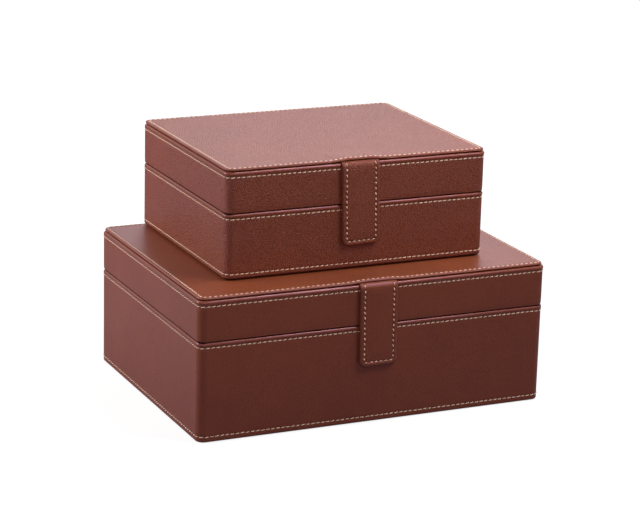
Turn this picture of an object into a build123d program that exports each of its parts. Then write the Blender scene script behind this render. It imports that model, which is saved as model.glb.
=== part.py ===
from build123d import *
import os

# A stacked pair of leather-covered stationery boxes of one design, in millimetres.
# The origin is the middle of the large box's foot. X runs to the right, Y to the back, Z up.

# Outer sizes of each box. A height is taken to or from the split between base and lid.
LARGE_WIDTH = 330.0
LARGE_DEPTH = 242.5
LARGE_BASE_HEIGHT = 89.2
LARGE_LID_HEIGHT = 38.9
SMALL_WIDTH = 248.0
SMALL_DEPTH = 202.0
SMALL_BASE_HEIGHT = 58.8
SMALL_LID_HEIGHT = 39.1
BACK_STEP = 0.0  # how far the small box stands forward of the large one's back face
SIDE_STEP = -1.5  # how far the small box stands to the right of the large one's middle

# The carcass of fibreboard.
CORNER_RADIUS = 7.5  # upright corners, outside the leather
WALL_BOARD = 8.0
BOTTOM_BOARD = 5.0
TOP_BOARD = 5.0
SPLIT_GAP = 0.4  # between the rims of base and lid

# Leather, suede and felt.
LEATHER = 1.2
LINING = 1.0
LINING_CORNER = 1.5
FLOOR_PAD = 3.0
FLOOR_PAD_ROUND = 1.0
FLOOR_PAD_CLEARANCE = 0.3
FELT = 0.4
FELT_INSET = 5.0
BOTTOM_ROUND = 2.4  # outer bottom edge
RIM_ROUND = 1.0  # outer edges at the split
BAND_ROUND = 1.6  # outer top edge of the lid's band

# The panel on top of the lid, and its rise over the tab's tongue.
PANEL_THICKNESS = 2.6
PANEL_INSET = 1.0
PANEL_CORNER = 7.5
PANEL_LEATHER = 0.8
PANEL_ROUND = 1.0
PANEL_UNDER_ROUND = 0.5
RISE_WIDTH = 60.0
RISE_HEIGHT = 1.5
RISE_LENGTH = 34.0
RISE_FRONT = 1.0  # from the panel's front edge to the top of the rise
RISE_ROOT = 0.4  # how deep the rise is rooted in the panel's leather
RISE_END = 0.02  # height that is left where the rise runs out

# The closing tab: a strap that hangs from a fold, and a tongue clamped under the panel.
TAB_WIDTH = 36.0
TAB_THICKNESS = 3.0
TAB_DROP = 76.2  # from the top panel's flat to the strap's end
TAB_CORNER = 5.0
TAB_EDGE_ROUND = 1.2
TAB_STANDOFF = 0.3
TAB_FOLD_DROP = 0.5  # the fold's axis below the top of the lid's band
TONGUE_THICKNESS = 1.2
TONGUE_LENGTH = 28.0
TONGUE_CORNER = 3.0
TONGUE_CLEARANCE = 0.1

# Magnets: one behind the base's front leather, one sealed in the strap.
MAGNET_FROM_END = 14.0  # from the strap's end to the magnets' middle
BASE_MAGNET_RADIUS = 6.0
BASE_MAGNET_THICKNESS = 2.0
TAB_MAGNET_RADIUS = 5.0
TAB_MAGNET_THICKNESS = 1.4
MAGNET_CLEARANCE = 0.05

# Stitching: each row is a thread bead that lies in a groove of the leather.
THREAD_WIDTH = 0.8
THREAD_DEPTH = 0.6
THREAD_SINK = 0.05
THREAD_CLEARANCE = 0.05
BOTTOM_ROW = 5.4  # above the foot
RIM_ROW = 4.9  # below the split
BAND_ROW = 4.9  # below the top of the lid's band
PANEL_ROW = 2.9  # in from the panel's edge
TAB_ROW = 4.2  # in from the strap's edge

# Stop hinges with five knuckles, their leaves let into the leather of the rims.
HINGE_WIDTH = 32.0
HINGE_LEAF_DEPTH = 8.4
HINGE_FROM_SIDE = 64.0  # from the box's side to the hinge's middle
KNUCKLE_RADIUS = 2.2
KNUCKLES = 5
KNUCKLE_GAP = 0.2
HINGE_STANDOFF = 0.3  # between the knuckles and the back leather
PIN_RADIUS = 0.9
PIN_FIT = 0.02
PIN_RUNNING_FIT = 0.05
HINGE_CLEARANCE = 0.1
SCREWS_PER_LEAF = 2
SCREW_SPACING = 18.0
SCREW_RADIUS = 1.0
SCREW_HEAD_RADIUS = 1.9
SCREW_HEAD_HEIGHT = 0.9
SCREW_LENGTH = 9.0
SCREW_SLOT_WIDTH = 0.5
SCREW_SLOT_DEPTH = 0.4
SCREW_CLEARANCE = 0.02

OVERCUT = 1.0  # how far a cutting tool runs past the face that it opens
WALL = LEATHER + WALL_BOARD + LINING


class Case:
    """The levels and faces of one box, worked out from its outer size."""

    def __init__(self, name, width, depth, base_height, lid_height, foot, place):
        self.name = name
        self.width = width
        self.depth = depth
        self.place = place
        self.foot = foot
        self.split = foot + base_height
        self.top = self.split + lid_height
        self.base_low = foot + FELT
        self.base_rim = self.split - SPLIT_GAP / 2
        self.lid_rim = self.split + SPLIT_GAP / 2
        self.band_top = self.top - PANEL_THICKNESS
        self.floor = self.base_low + LEATHER + BOTTOM_BOARD
        self.ceiling = self.band_top - LEATHER - TOP_BOARD
        self.front = -depth / 2
        self.back = depth / 2
        self.panel_front = self.front + PANEL_INSET
        self.strap_back = self.front - TAB_STANDOFF
        self.strap_end = self.top - TAB_DROP
        self.fold_y = self.strap_back - TAB_THICKNESS / 2
        self.fold_z = self.band_top - TAB_FOLD_DROP
        self.magnet_z = self.strap_end + MAGNET_FROM_END
        self.pin_y = self.back + HINGE_STANDOFF + KNUCKLE_RADIUS
        self.hinge_places = [side * (width / 2 - HINGE_FROM_SIDE) for side in (-1, 1)]


def block(case, inset, low, high, radius=0.0):
    """An upright prism on the box's outline, drawn in by inset, with round corners of the given radius."""
    width = case.width - 2 * inset
    depth = case.depth - 2 * inset
    outline = RectangleRounded(width, depth, radius) if radius > 0 else Rectangle(width, depth)
    return extrude(Pos(0, 0, low) * outline, high - low)


def round_block(case, inset, low, high):
    """A block whose corners follow the box's outer corners."""
    return block(case, inset, low, high, CORNER_RADIUS - inset)


def panel_block(case, inset, low, high):
    """A block whose corners follow the top panel's, drawn in by inset from the panel's edge."""
    return block(case, PANEL_INSET + inset, low, high, PANEL_CORNER - inset)


def bar(x_low, x_high, y_low, y_high, z_low, z_high):
    """A plain bar between two opposite corners."""
    centre = Pos((x_low + x_high) / 2, (y_low + y_high) / 2, (z_low + z_high) / 2)
    return centre * Box(x_high - x_low, y_high - y_low, z_high - z_low)


def rounded(solid, face_place, radius):
    """Rounds the edges of the lowest (0) or highest (-1) level face."""
    return fillet(solid.faces().sort_by(Axis.Z)[face_place].edges(), radius)


def base_envelope(case):
    """The outside of the base's boards."""
    solid = round_block(case, LEATHER, case.base_low + LEATHER, case.base_rim - LEATHER)
    return rounded(solid, 0, BOTTOM_ROUND - LEATHER)


def lid_envelope(case):
    """The outside of the lid's boards."""
    return round_block(case, LEATHER, case.lid_rim + LEATHER, case.band_top - LEATHER)


def wall_boards(case, envelope, low, high):
    """Four mitred wall boards inside an envelope, as front, back, left and right."""
    x = case.width / 2
    y = case.depth / 2
    t = LEATHER + WALL_BOARD
    front = Polygon((-x, -y), (x, -y), (x - t, -y + t), (-x + t, -y + t), align=None)
    back = Polygon((-x, y), (-x + t, y - t), (x - t, y - t), (x, y), align=None)
    left = Polygon((-x, -y), (-x + t, -y + t), (-x + t, y - t), (-x, y), align=None)
    right = Polygon((x, -y), (x, y), (x - t, y - t), (x - t, -y + t), align=None)
    walls = {"front": front, "back": back, "left": left, "right": right}
    return {side: envelope & extrude(Pos(0, 0, low) * face, high - low) for side, face in walls.items()}


def side_row(case, level, slack=0.0):
    """The bead of a stitch row at one level of the side, sunk a little, or with slack, its groove."""
    low = level - THREAD_WIDTH / 2 - slack
    high = level + THREAD_WIDTH / 2 + slack
    outer = round_block(case, 0.0 if slack else THREAD_SINK, low, high)
    return outer - round_block(case, THREAD_SINK + THREAD_DEPTH + slack, low, high)


def panel_row(case, groove=False):
    """The bead of the stitch row on the top panel, or its groove."""
    slack = THREAD_CLEARANCE if groove else 0.0
    low = case.top - THREAD_SINK - THREAD_DEPTH - slack
    high = case.top + RISE_HEIGHT + OVERCUT if groove else case.top - THREAD_SINK
    inset = PANEL_ROW - THREAD_WIDTH / 2
    outer = panel_block(case, inset - slack, low, high)
    return outer - panel_block(case, inset + THREAD_WIDTH + slack, low, high)


def strap_face(case, inset, top):
    """The strap's outline, drawn in by inset, as a face in the XZ plane that ends at top."""
    half = TAB_WIDTH / 2 - inset
    end = case.strap_end + inset
    corner = TAB_CORNER - inset
    plate = RectangleRounded(2 * half, 2 * (top - end), corner)
    upper = Rectangle(4 * half, 2 * (top - end), align=(Align.CENTER, Align.MIN))
    return Plane.XZ * (Pos(0, top) * (plate - upper))


def strap_layer(case, face, y_low, y_high):
    """A strap face made solid between two depths."""
    return Pos(0, y_high, 0) * extrude(face, y_high - y_low)


def tab_row(case, slack=0.0):
    """The bead of the strap's stitch row, or with slack, its groove."""
    outer_inset = TAB_ROW - THREAD_WIDTH / 2 - slack
    outer = strap_face(case, outer_inset, case.fold_z)
    inner = strap_face(case, outer_inset + THREAD_WIDTH + 2 * slack, case.fold_z)
    strap_front = case.strap_back - TAB_THICKNESS
    low = strap_front if slack else strap_front + THREAD_SINK
    return strap_layer(case, outer - inner, low, strap_front + THREAD_SINK + THREAD_DEPTH + slack)


def disc(radius, thickness, y_low, z):
    """A round magnet that lies flat against a front face."""
    return Pos(0, y_low + thickness / 2, z) * Cylinder(radius, thickness, rotation=(90, 0, 0))


def base_magnet(case, slack=0.0):
    """The magnet in the base's front board, or with slack, its seat."""
    y_low = case.front + LEATHER
    return disc(BASE_MAGNET_RADIUS + slack, BASE_MAGNET_THICKNESS + slack, y_low, case.magnet_z)


def tab_magnet(case, slack=0.0):
    """The magnet in the middle of the strap's thickness, or with slack, its sealed pocket."""
    thickness = TAB_MAGNET_THICKNESS + 2 * slack
    return disc(TAB_MAGNET_RADIUS + slack, thickness, case.fold_y - thickness / 2, case.magnet_z)


def tab_strap(case):
    """The strap with its round top, which turns about the fold's axis."""
    radius = TAB_THICKNESS / 2
    plate = strap_layer(case, strap_face(case, 0.0, case.fold_z), case.strap_back - TAB_THICKNESS, case.strap_back)
    roll = Pos(0, case.fold_y, case.fold_z) * Cylinder(radius, TAB_WIDTH, rotation=(0, 90, 0))
    strap = plate + roll
    ends = strap.faces().filter_by(Axis.X).sort_by(Axis.X)
    outline = strap.faces().filter_by(Axis.Y).edges() + ends[0].edges() + ends[-1].edges()
    edges = [edge for edge in outline if edge.center().Z < case.fold_z - radius or abs(edge.center().X) > TAB_WIDTH / 4]
    strap = fillet(ShapeList(edges), TAB_EDGE_ROUND)
    return strap - tab_row(case, THREAD_CLEARANCE) - tab_magnet(case, MAGNET_CLEARANCE)


def tongue(case, slack=0.0):
    """The leather clamped under the panel, or with slack, its slot."""
    end = case.front + TONGUE_LENGTH + slack
    high = case.band_top + TONGUE_THICKNESS
    plate = bar(-TAB_WIDTH / 2 - slack, TAB_WIDTH / 2 + slack, case.front, end, case.band_top, high)
    return fillet(plate.edges().filter_by(Axis.Z).sort_by(Axis.Y)[-2:], TONGUE_CORNER)


def panel_rise(case):
    """The low rise of the panel's leather over the tongue."""
    places = [0.0, RISE_FRONT, RISE_LENGTH]
    heights = [RISE_HEIGHT / 2, RISE_HEIGHT, RISE_END]
    half = RISE_WIDTH / 2
    low = case.top - RISE_ROOT
    start = case.panel_front + PANEL_ROUND
    sections = []
    for place, height in zip(places, heights):
        y = start + place
        arch = ThreePointArc((half, y, case.top), (0, y, case.top + height), (-half, y, case.top))
        sill = Polyline((-half, y, case.top), (-half, y, low), (half, y, low), (half, y, case.top))
        sections.append(make_face(arch + sill))
    return loft(sections, ruled=True)


def panel_board(case):
    """The card inside the top panel, with the tongue's slot."""
    solid = panel_block(case, PANEL_LEATHER, case.band_top, case.top - PANEL_LEATHER)
    return solid - tongue(case, TONGUE_CLEARANCE)


def panel_cover(case):
    """The leather over the top panel's board and edges."""
    solid = panel_block(case, 0.0, case.band_top, case.top)
    solid = rounded(solid, -1, PANEL_ROUND)
    solid = rounded(solid, 0, PANEL_UNDER_ROUND)
    board = panel_block(case, PANEL_LEATHER, case.band_top, case.top - PANEL_LEATHER)
    solid = solid + panel_rise(case)
    return solid - board - tongue(case, TONGUE_CLEARANCE) - panel_row(case, groove=True)


def leaf_seats(case, low, high):
    """The recesses for the hinge leaves in the leather of one rim."""
    half = HINGE_WIDTH / 2 + HINGE_CLEARANCE
    inner = case.back - HINGE_LEAF_DEPTH - HINGE_CLEARANCE
    return [bar(x - half, x + half, inner, case.back + OVERCUT, low, high) for x in case.hinge_places]


def screw_places(case):
    """The middle of each screw in X, hinge by hinge."""
    span = SCREW_SPACING * (SCREWS_PER_LEAF - 1)
    return [x - span / 2 + n * SCREW_SPACING for x in case.hinge_places for n in range(SCREWS_PER_LEAF)]


def screw(case, x, face, way, slack=0.0):
    """A countersunk screw whose head is flush with face and which points along way, -1 down or 1 up."""
    y = case.back - LEATHER - WALL_BOARD / 2
    head_middle = face + way * SCREW_HEAD_HEIGHT / 2
    lower, upper = SCREW_RADIUS + slack, SCREW_HEAD_RADIUS + slack
    head = Cone(lower, upper, SCREW_HEAD_HEIGHT) if way < 0 else Cone(upper, lower, SCREW_HEAD_HEIGHT)
    shank = Cylinder(SCREW_RADIUS + slack, SCREW_LENGTH + slack)
    solid = Pos(x, y, head_middle) * head + Pos(x, y, face + way * (SCREW_LENGTH + slack) / 2) * shank
    if slack:
        return solid
    slot = Box(2 * SCREW_HEAD_RADIUS, SCREW_SLOT_WIDTH, SCREW_SLOT_DEPTH)
    return solid - Pos(x, y, face + way * SCREW_SLOT_DEPTH / 2) * slot


def screws(case, face, way, slack=0.0):
    """All the screws of one rim, or with slack, their holes."""
    return [screw(case, x, face, way, slack) for x in screw_places(case)]


def pin(case, x, radius, length):
    """A round pin along the hinge's axis."""
    return Pos(x, case.pin_y, case.split) * Cylinder(radius, length, rotation=(0, 90, 0))


def hinge_leaf(case, x, low, high, own, fit):
    """A leaf with its own share of the knuckles, bored for the pin."""
    pitch = HINGE_WIDTH / KNUCKLES
    inner = case.back - HINGE_LEAF_DEPTH
    leaf = bar(x - HINGE_WIDTH / 2, x + HINGE_WIDTH / 2, inner, case.back, low, high)
    for n in range(own, KNUCKLES, 2):
        start = x - HINGE_WIDTH / 2 + n * pitch + (KNUCKLE_GAP if n else 0.0)
        end = x - HINGE_WIDTH / 2 + (n + 1) * pitch - (KNUCKLE_GAP if n < KNUCKLES - 1 else 0.0)
        leaf += bar(start, end, case.back - LEATHER, case.pin_y, low, high)
        leaf += pin(case, (start + end) / 2, KNUCKLE_RADIUS, end - start)
    return leaf - pin(case, x, PIN_RADIUS + fit, HINGE_WIDTH + 2 * OVERCUT)


def cut(solid, tools):
    """A solid less each of the tools."""
    for tool in tools:
        solid = solid - tool
    return solid


def base_pieces(case):
    """Every piece of the base, by name."""
    envelope = base_envelope(case)
    low = case.base_low + LEATHER
    board_rim = case.base_rim - LEATHER
    walls = wall_boards(case, envelope, low, board_rim)
    rows = [case.foot + BOTTOM_ROW, case.split - RIM_ROW]
    outer = round_block(case, 0.0, case.base_low, case.base_rim)
    outer = rounded(rounded(outer, 0, BOTTOM_ROUND), -1, RIM_ROUND)
    cover = outer - envelope - block(case, WALL, board_rim, case.base_rim + OVERCUT, LINING_CORNER)
    cover = cut(cover, [side_row(case, level, THREAD_CLEARANCE) for level in rows])
    cover = cut(cover, leaf_seats(case, board_rim, case.base_rim + OVERCUT))
    lining = block(case, WALL - LINING, case.floor, board_rim) - block(case, WALL, case.floor, board_rim, LINING_CORNER)
    pad = block(case, WALL + FLOOR_PAD_CLEARANCE, case.floor, case.floor + FLOOR_PAD, LINING_CORNER)
    leaves = [hinge_leaf(case, x, board_rim, case.base_rim, 0, PIN_FIT) for x in case.hinge_places]
    screw_holes = screws(case, case.base_rim, -1, SCREW_CLEARANCE)
    return {
        "base_front_board": walls["front"] - base_magnet(case, MAGNET_CLEARANCE),
        "base_back_board": cut(walls["back"], screw_holes),
        "base_left_board": walls["left"],
        "base_right_board": walls["right"],
        "base_bottom_board": block(case, WALL - LINING, low, case.floor),
        "base_cover": cover,
        "base_lining": lining,
        "base_floor_pad": rounded(pad, -1, FLOOR_PAD_ROUND),
        "foot_felt": round_block(case, FELT_INSET, case.foot, case.base_low),
        "base_magnet": base_magnet(case),
        "base_hinge_leaves": [cut(leaf, screw_holes) for leaf in leaves],
        "hinge_pins": [pin(case, x, PIN_RADIUS, HINGE_WIDTH) for x in case.hinge_places],
        "base_hinge_screws": screws(case, case.base_rim, -1),
        "base_thread": [side_row(case, level) for level in rows],
    }


def lid_pieces(case):
    """Every piece of the lid, by name."""
    envelope = lid_envelope(case)
    board_rim = case.lid_rim + LEATHER
    board_top = case.band_top - LEATHER
    walls = wall_boards(case, envelope, board_rim, board_top)
    row = case.band_top - BAND_ROW
    outer = round_block(case, 0.0, case.lid_rim, case.band_top)
    outer = rounded(rounded(outer, 0, RIM_ROUND), -1, BAND_ROUND)
    cover = outer - envelope - block(case, WALL, case.lid_rim - OVERCUT, board_rim, LINING_CORNER)
    cover = cover - side_row(case, row, THREAD_CLEARANCE)
    cover = cut(cover, leaf_seats(case, case.lid_rim - OVERCUT, board_rim))
    lining = block(case, WALL - LINING, board_rim, case.ceiling)
    lining = lining - block(case, WALL, board_rim, case.ceiling - LINING, LINING_CORNER)
    leaves = [hinge_leaf(case, x, case.lid_rim, board_rim, 1, PIN_RUNNING_FIT) for x in case.hinge_places]
    screw_holes = screws(case, case.lid_rim, 1, SCREW_CLEARANCE)
    return {
        "lid_front_board": walls["front"],
        "lid_back_board": cut(walls["back"], screw_holes),
        "lid_left_board": walls["left"],
        "lid_right_board": walls["right"],
        "lid_top_board": block(case, WALL - LINING, case.ceiling, board_top),
        "lid_cover": cover,
        "lid_lining": lining,
        "top_panel_board": panel_board(case),
        "top_panel_cover": panel_cover(case),
        "lid_hinge_leaves": [cut(leaf, screw_holes) for leaf in leaves],
        "lid_hinge_screws": screws(case, case.lid_rim, 1),
        "lid_thread": [side_row(case, row), panel_row(case)],
        "tab_tongue": tongue(case),
    }


def tab_pieces(case):
    """Every piece of the tab, by name."""
    return {
        "tab_strap": tab_strap(case),
        "tab_magnet": tab_magnet(case),
        "tab_thread": tab_row(case),
    }


def write(case, pieces):
    """Writes each piece at its place, one file for each name."""
    for name, piece in pieces.items():
        solids = [solid for part in (piece if isinstance(piece, list) else [piece]) for solid in part.solids()]
        placed = [Pos(*case.place, 0) * solid for solid in solids]
        shape = placed[0] if len(placed) == 1 else Compound(children=placed)
        export_step(shape, f"parts/{case.name}_{name}.step")


def stacked_pair():
    """The large box on its foot, and the small box on the large one's top panel."""
    large_size = (LARGE_WIDTH, LARGE_DEPTH, LARGE_BASE_HEIGHT, LARGE_LID_HEIGHT)
    small_size = (SMALL_WIDTH, SMALL_DEPTH, SMALL_BASE_HEIGHT, SMALL_LID_HEIGHT)
    large = Case("large", *large_size, foot=0.0, place=(0.0, 0.0))
    small_place = (SIDE_STEP, large.back - BACK_STEP - SMALL_DEPTH / 2)
    return [large, Case("small", *small_size, foot=large.top, place=small_place)]


os.makedirs("parts", exist_ok=True)
for box in stacked_pair():
    write(box, base_pieces(box))
    write(box, lid_pieces(box))
    write(box, tab_pieces(box))
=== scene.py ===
import math

import bpy
import numpy as np
from mathutils import Matrix, Vector


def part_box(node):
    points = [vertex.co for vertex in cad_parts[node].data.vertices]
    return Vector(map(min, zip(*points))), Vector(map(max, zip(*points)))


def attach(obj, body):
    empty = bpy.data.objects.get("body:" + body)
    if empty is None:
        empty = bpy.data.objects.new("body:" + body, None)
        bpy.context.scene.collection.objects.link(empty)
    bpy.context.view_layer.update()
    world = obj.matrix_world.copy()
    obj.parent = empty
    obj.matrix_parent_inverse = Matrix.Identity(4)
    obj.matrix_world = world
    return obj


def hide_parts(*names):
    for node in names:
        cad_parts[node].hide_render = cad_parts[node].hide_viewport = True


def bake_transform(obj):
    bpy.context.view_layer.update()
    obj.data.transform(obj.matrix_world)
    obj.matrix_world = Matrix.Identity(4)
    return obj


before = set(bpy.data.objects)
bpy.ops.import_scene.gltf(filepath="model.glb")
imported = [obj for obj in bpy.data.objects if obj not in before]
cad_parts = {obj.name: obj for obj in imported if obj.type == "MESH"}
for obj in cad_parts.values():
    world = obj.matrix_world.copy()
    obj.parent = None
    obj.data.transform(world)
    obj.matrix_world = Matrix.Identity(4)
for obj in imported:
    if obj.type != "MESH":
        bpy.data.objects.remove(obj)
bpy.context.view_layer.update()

MM = 0.001

# The looks of a stacked pair of leather-covered stationery boxes. Lengths are in millimetres. An inset is
# how far in from a side a place lies, and a profile is a row of insets with heights.

CORNER = 7.5  # upright corners, outside the leather
LEATHER = 1.2
WALL = 10.2  # leather, board and lining together
BOTTOM_ROUNDS = {"large": 1.8, "small": 2.6}
BASE_RIM_ROUND = 2.2
LID_RIM_ROUND = 0.6
LID_RECESS = 0.2  # of the lid's lower edge
LID_RECESS_FADE = ((0.75, 1.5), (0.25, 2.7))  # shares of that recess, and how far above the edge
SPLIT_SHADE = 0.15  # how much wider the split is at the outer edge of the lid's rim
BAND_ROUND = 2.2
BEAD = 0.5  # how far the leather puffs out over a turned edge
PRESSED_BEAD = 0.25  # behind the tab
PRESSED_FADE = 5.0  # beside the tab, over which the bead swells again
BEAD_SWELL = ((0.4, 0.9), (0.85, 0.4))  # shares of the puff, and how far below the turn
HINGE_CALM = (8.0, 2.0)  # in from the back, where the bead dies away for the hinges
INNER_ROUND = 0.5  # the leather's inner edge on the rims
ROW_MARGIN = 4.0  # between a row of stitches and the plain side
LID_SIDE_START = 5.0  # above the rim
UNDER_FLAT = (9.0, 5.0)  # insets on the flats of the covers
RIM_FLAT = (3.2, 8.0)
LID_RIM_FLAT = (8.0, 4.2)
LID_EDGE_FLAT = (3.4, 2.0)
BOARD_FLAT = (WALL, LEATHER + 1.0, LEATHER)  # where the covers lie on the edges of the boards
BAND_FLAT = (3.4, 9.0)
INSIDE_FLAT = 9.0
RUB_START = 2.3  # below a turned edge, where its leather is rubbed smooth
RUB_FADE = 1.0
RIM_SHADE_LEVEL = 0.7  # below the rim, where the painted shade of the split begins
RIM_SHADE_START = 0.45  # in from the side, where that painted shade begins and ends
RIM_SHADE_END = 3.0
RIM_SHADE_FADES = (0.35, 1.0)
FOOT_SHADE_START = 0.15
FOOT_SHADE_REACHES = {"large": 1.2, "small": 3.2}  # how far up from the foot the painted contact shadow fades out

PANEL_INSETS = {"large": 1.0, "small": 0.4}
PANEL_CORNER = 7.5
PANEL_LEAST_CORNER = 0.6
PANEL_LEATHER = 0.8
PANEL_ROUND = 1.5
PANEL_UNDER_ROUND = 0.3
PANEL_SLOT = 0.95  # of shade between the panel's edge and the band
PANEL_SLOT_DEPTH = 3.0
PANEL_FLAT = (6.0, 9.0, 12.0, 16.0, 20.0, 24.0, 28.0, 32.0, 36.0, 42.0, 50.0)
CARD_FLAT = (3.0, 6.0, 12.0, 20.0, 28.0, 36.0, 50.0)
CARD_ROOM = 0.05  # between the card and the leather
CARD_ROUND = 0.75
CARD_SLOPE = 0.6  # from its underside up to the slot
CAD_RISE = 1.5
RISE_HEIGHTS = {"large": 1.0, "small": 1.4}  # of the panel over the tab's tongue
RISE_HALF_TOP = 9.0
RISE_HALF_FOOT = 29.0
RISE_START = 7.0  # behind the front
RISE_END = 37.0

TAB_HALF = 18.0
TAB_THICKNESS = 3.0
TAB_CORNER = 5.0
TAB_LEAST_CORNER = 0.3
TAB_EDGE = 2.2  # how far in from its outline the strap reaches full thickness
TAB_CROWN = 0.25
TAB_CROWN_RISE = (4.5, 14.0)  # in from the outline
TAB_PUFF = 0.35  # of the leather between the strap's edge and its stitches
TAB_FILL_FADE = 6.0  # along the strap, over which crown and puff begin
TAB_STITCH_LENGTH = 2.6
TAB_HOLE = 0.75
TAB_BACK_SINK = 0.4  # how much flatter the stitches lie on the strap's back
TAB_SEWN_FROM = 1.8  # beyond the tongue, where the stitches begin
TAB_SWAYS = {"large": 0.0145, "small": 0.03}  # how far askew the tab hangs, to the right for each unit down
SWAY_FADE = 12.0
TONGUE_THICKNESS = 1.3
TONGUE_LENGTH = 28.0
TONGUE_PARING = 3.0  # over which its end is pared thin
DOUBLED_FADE = (0.5, 2.0)  # past the start and the end of the fold, where the leather grows double
FURROW_FADE = (0.5, 1.5)  # before and after the start of the fold, where the furrow begins
FOLD_RADIUS = 3.0  # of the middle of the leather where it bends down

HINGE_WIDTH = 32.0
HINGE_LEAF_DEPTH = 8.4
SEAT_ROOM = 0.1  # round a hinge leaf that is let into a rim
SEAT_FLOOR_ROOM = 0.02
SEAT_OVERCUT = 1.0

LINING = 1.0
LINING_CORNER = 1.5
SNUG_CORNER = 0.6  # of the lining's outer side
SNUG_INSET = 0.05
TUCKED_EDGE = ((SNUG_INSET, 0.05), (0.35, 0.02), (0.7, 0.12), (LINING, 0.5))  # in from the edge of the lining
COVE = 1.2  # where the lid's walls meet its ceiling
CEILING_FLAT = (6.0, 8.0)
PAD_PULL = 0.9  # how far the pad's sides draw in between its corners
PAD_UNDERSIDE = ((12.0, 0.0), (1.2, 0.0), (0.35, 0.3), (0.05, 0.9))
PAD_SHOULDER = ((0.0, 1.4), (0.1, 1.9), (0.5, 2.35), (1.3, 2.7), (2.6, 2.85))
PAD_CROWN = ((5.0, 3.0), (9.0, 3.2), (15.0, 3.4), (24.0, 3.6), (36.0, 3.75), (52.0, 3.85), (70.0, 3.9))
PAD_CALM = 40.0  # in from its side, where the pull ends
FELT_CORNER = 2.5
FELT_PROFILE = ((6.0, 0.0), (0.3, 0.0), (0.08, 0.2), (0.0, 0.5), (0.05, 1.0), (6.0, 1.0))  # in shares
FELT_ROOM = 0.02

STITCH_PITCH = 4.7
STITCH_LENGTH = 3.85
THREAD_WIDTH = 0.94
THREAD_HEIGHT = 0.7
ARCH_HEIGHT = 0.28  # how far a stitch stands out at its middle
ARCH_DIVE = 0.9  # how far its ends go down into the needle holes
ARCH_POWER = 2.3  # how late it turns down
END_FULLNESS = 0.3  # the share of its thickness that its ends keep
STITCH_STATIONS = 9
STRAND_SIDES = 8
STITCH_SLANT = 7.0  # degrees off the row, rising to the right
SLANT_SPREAD = 2.0  # from one stitch to the next
LENGTH_SPREAD = 0.03
ACROSS_SPREAD = 0.04
OUT_SPREAD = 0.02
SAMPLES_PER_STITCH = 5
FURROW_HALF = 1.2  # half the width of the furrow that a row of stitches pulls into the leather
FURROW_DEPTH = 0.2
FURROW = ((-1.0, 0.0), (-0.62, 0.35), (-0.3, 0.85), (0.0, 1.0), (0.3, 0.85), (0.62, 0.35), (1.0, 0.0))
NEEDLE_HOLE = 0.35  # how much deeper the furrow is between two stitches
BOTTOM_ROW = 5.4  # above the foot
RIM_ROW = 4.9  # below the split
BAND_ROW = 4.9  # below the top of the lid's band
PANEL_ROW = 3.9  # in from the box's side
PANEL_SINK = 0.28  # how much deeper the stitches are pulled into the top panel
TAB_ROW = 4.2  # in from the strap's edge
TAB_INSETS = [0.0, 0.05, 0.2, 0.45, 0.8, 1.2, 1.7, TAB_EDGE, 2.6]
TAB_INSETS += [TAB_ROW + place * FURROW_HALF for place, share in FURROW] + [6.5]

SIDE_STEPS = 24  # samples along a plain side
CORNER_STEPS = 8
SHARP_TURN = 50.0  # degrees between two faces that meet in a sharp edge

chance = np.random.default_rng(11)


# ---------------- camera, floor and light

CAMERA_PLACE = (-880.5, -1890.7, 712.9)
CAMERA_PITCH = 16.072
CAMERA_YAW = -24.985
CAMERA_ROLL = 1.551
CAMERA_LENS = 135.11
LAMP_AIM = Vector((0.0, 0.0, 0.11))
LAMPS = (  # name, bearing and height in degrees, distance and size in metres, power in watts
    ("key", 330, 70, 0.8, 0.2, 2.8),
    ("brow", 307, 50, 0.8, 0.2, 2.3),
    ("left", 160, 25, 0.8, 0.35, 3.9),
    ("corner", 240, 24, 0.8, 0.35, 0.9),
    ("backdrop", 65, 32, 1.5, 0.6, 3.3),
)
FLOOR_REACH = 9.0  # metres
FLOOR_SIDES = 64
SURROUNDINGS = ("#f6eaf4", "#ffffff")  # a breath of rose in the gloss, and white to the camera
FLOOR_GLOW = ("#896989", "#ffffff")
FLOOR_TONES = ("#616161", "#a0a0a0")
MIX_FIRST, MIX_SECOND, MIX_COLOUR = 6, 7, 2  # a colour Mix node's two inputs and its output


def linear(hex_colour):
    """The linear value of an sRGB hex colour, as shaders take it."""
    parts = [int(hex_colour[n:n + 2], 16) / 255 for n in (1, 3, 5)]
    return [part / 12.92 if part <= 0.04045 else ((part + 0.055) / 1.055) ** 2.4 for part in parts] + [1.0]


def add(tree, kind, sockets=None, **settings):
    """Adds a shader node: settings are its properties, and its sockets are filled as plug does it."""
    made = tree.nodes.new("ShaderNode" + kind)
    for name, value in settings.items():
        setattr(made, name, value)
    plug(tree, made, sockets or {})
    return made


def plug(tree, node, sockets):
    """Fills a node's sockets, each with a value or with another node's output."""
    for socket, source in sockets.items():
        if isinstance(source, bpy.types.NodeSocket):
            tree.links.new(source, node.inputs[socket])
        else:
            node.inputs[socket].default_value = source


def mix(tree, factor, *ends):
    """A colour between two, each an sRGB hex or a node's output."""
    first, second = (linear(end) if isinstance(end, str) else end for end in ends)
    sockets = {"Factor": factor, MIX_FIRST: first, MIX_SECOND: second}
    return add(tree, "Mix", sockets, data_type="RGBA").outputs[MIX_COLOUR]


def stretch(tree, value, **ends):
    """A value brought from one range to another, both 0 to 1 unless their ends are given."""
    sockets = {name.replace("_", " ").title(): end for name, end in ends.items()}
    return add(tree, "MapRange", {"Value": value, **sockets}).outputs[0]


def calculate(tree, operation, *values):
    """One operation on some values."""
    return add(tree, "Math", dict(enumerate(values)), operation=operation).outputs[0]


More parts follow.
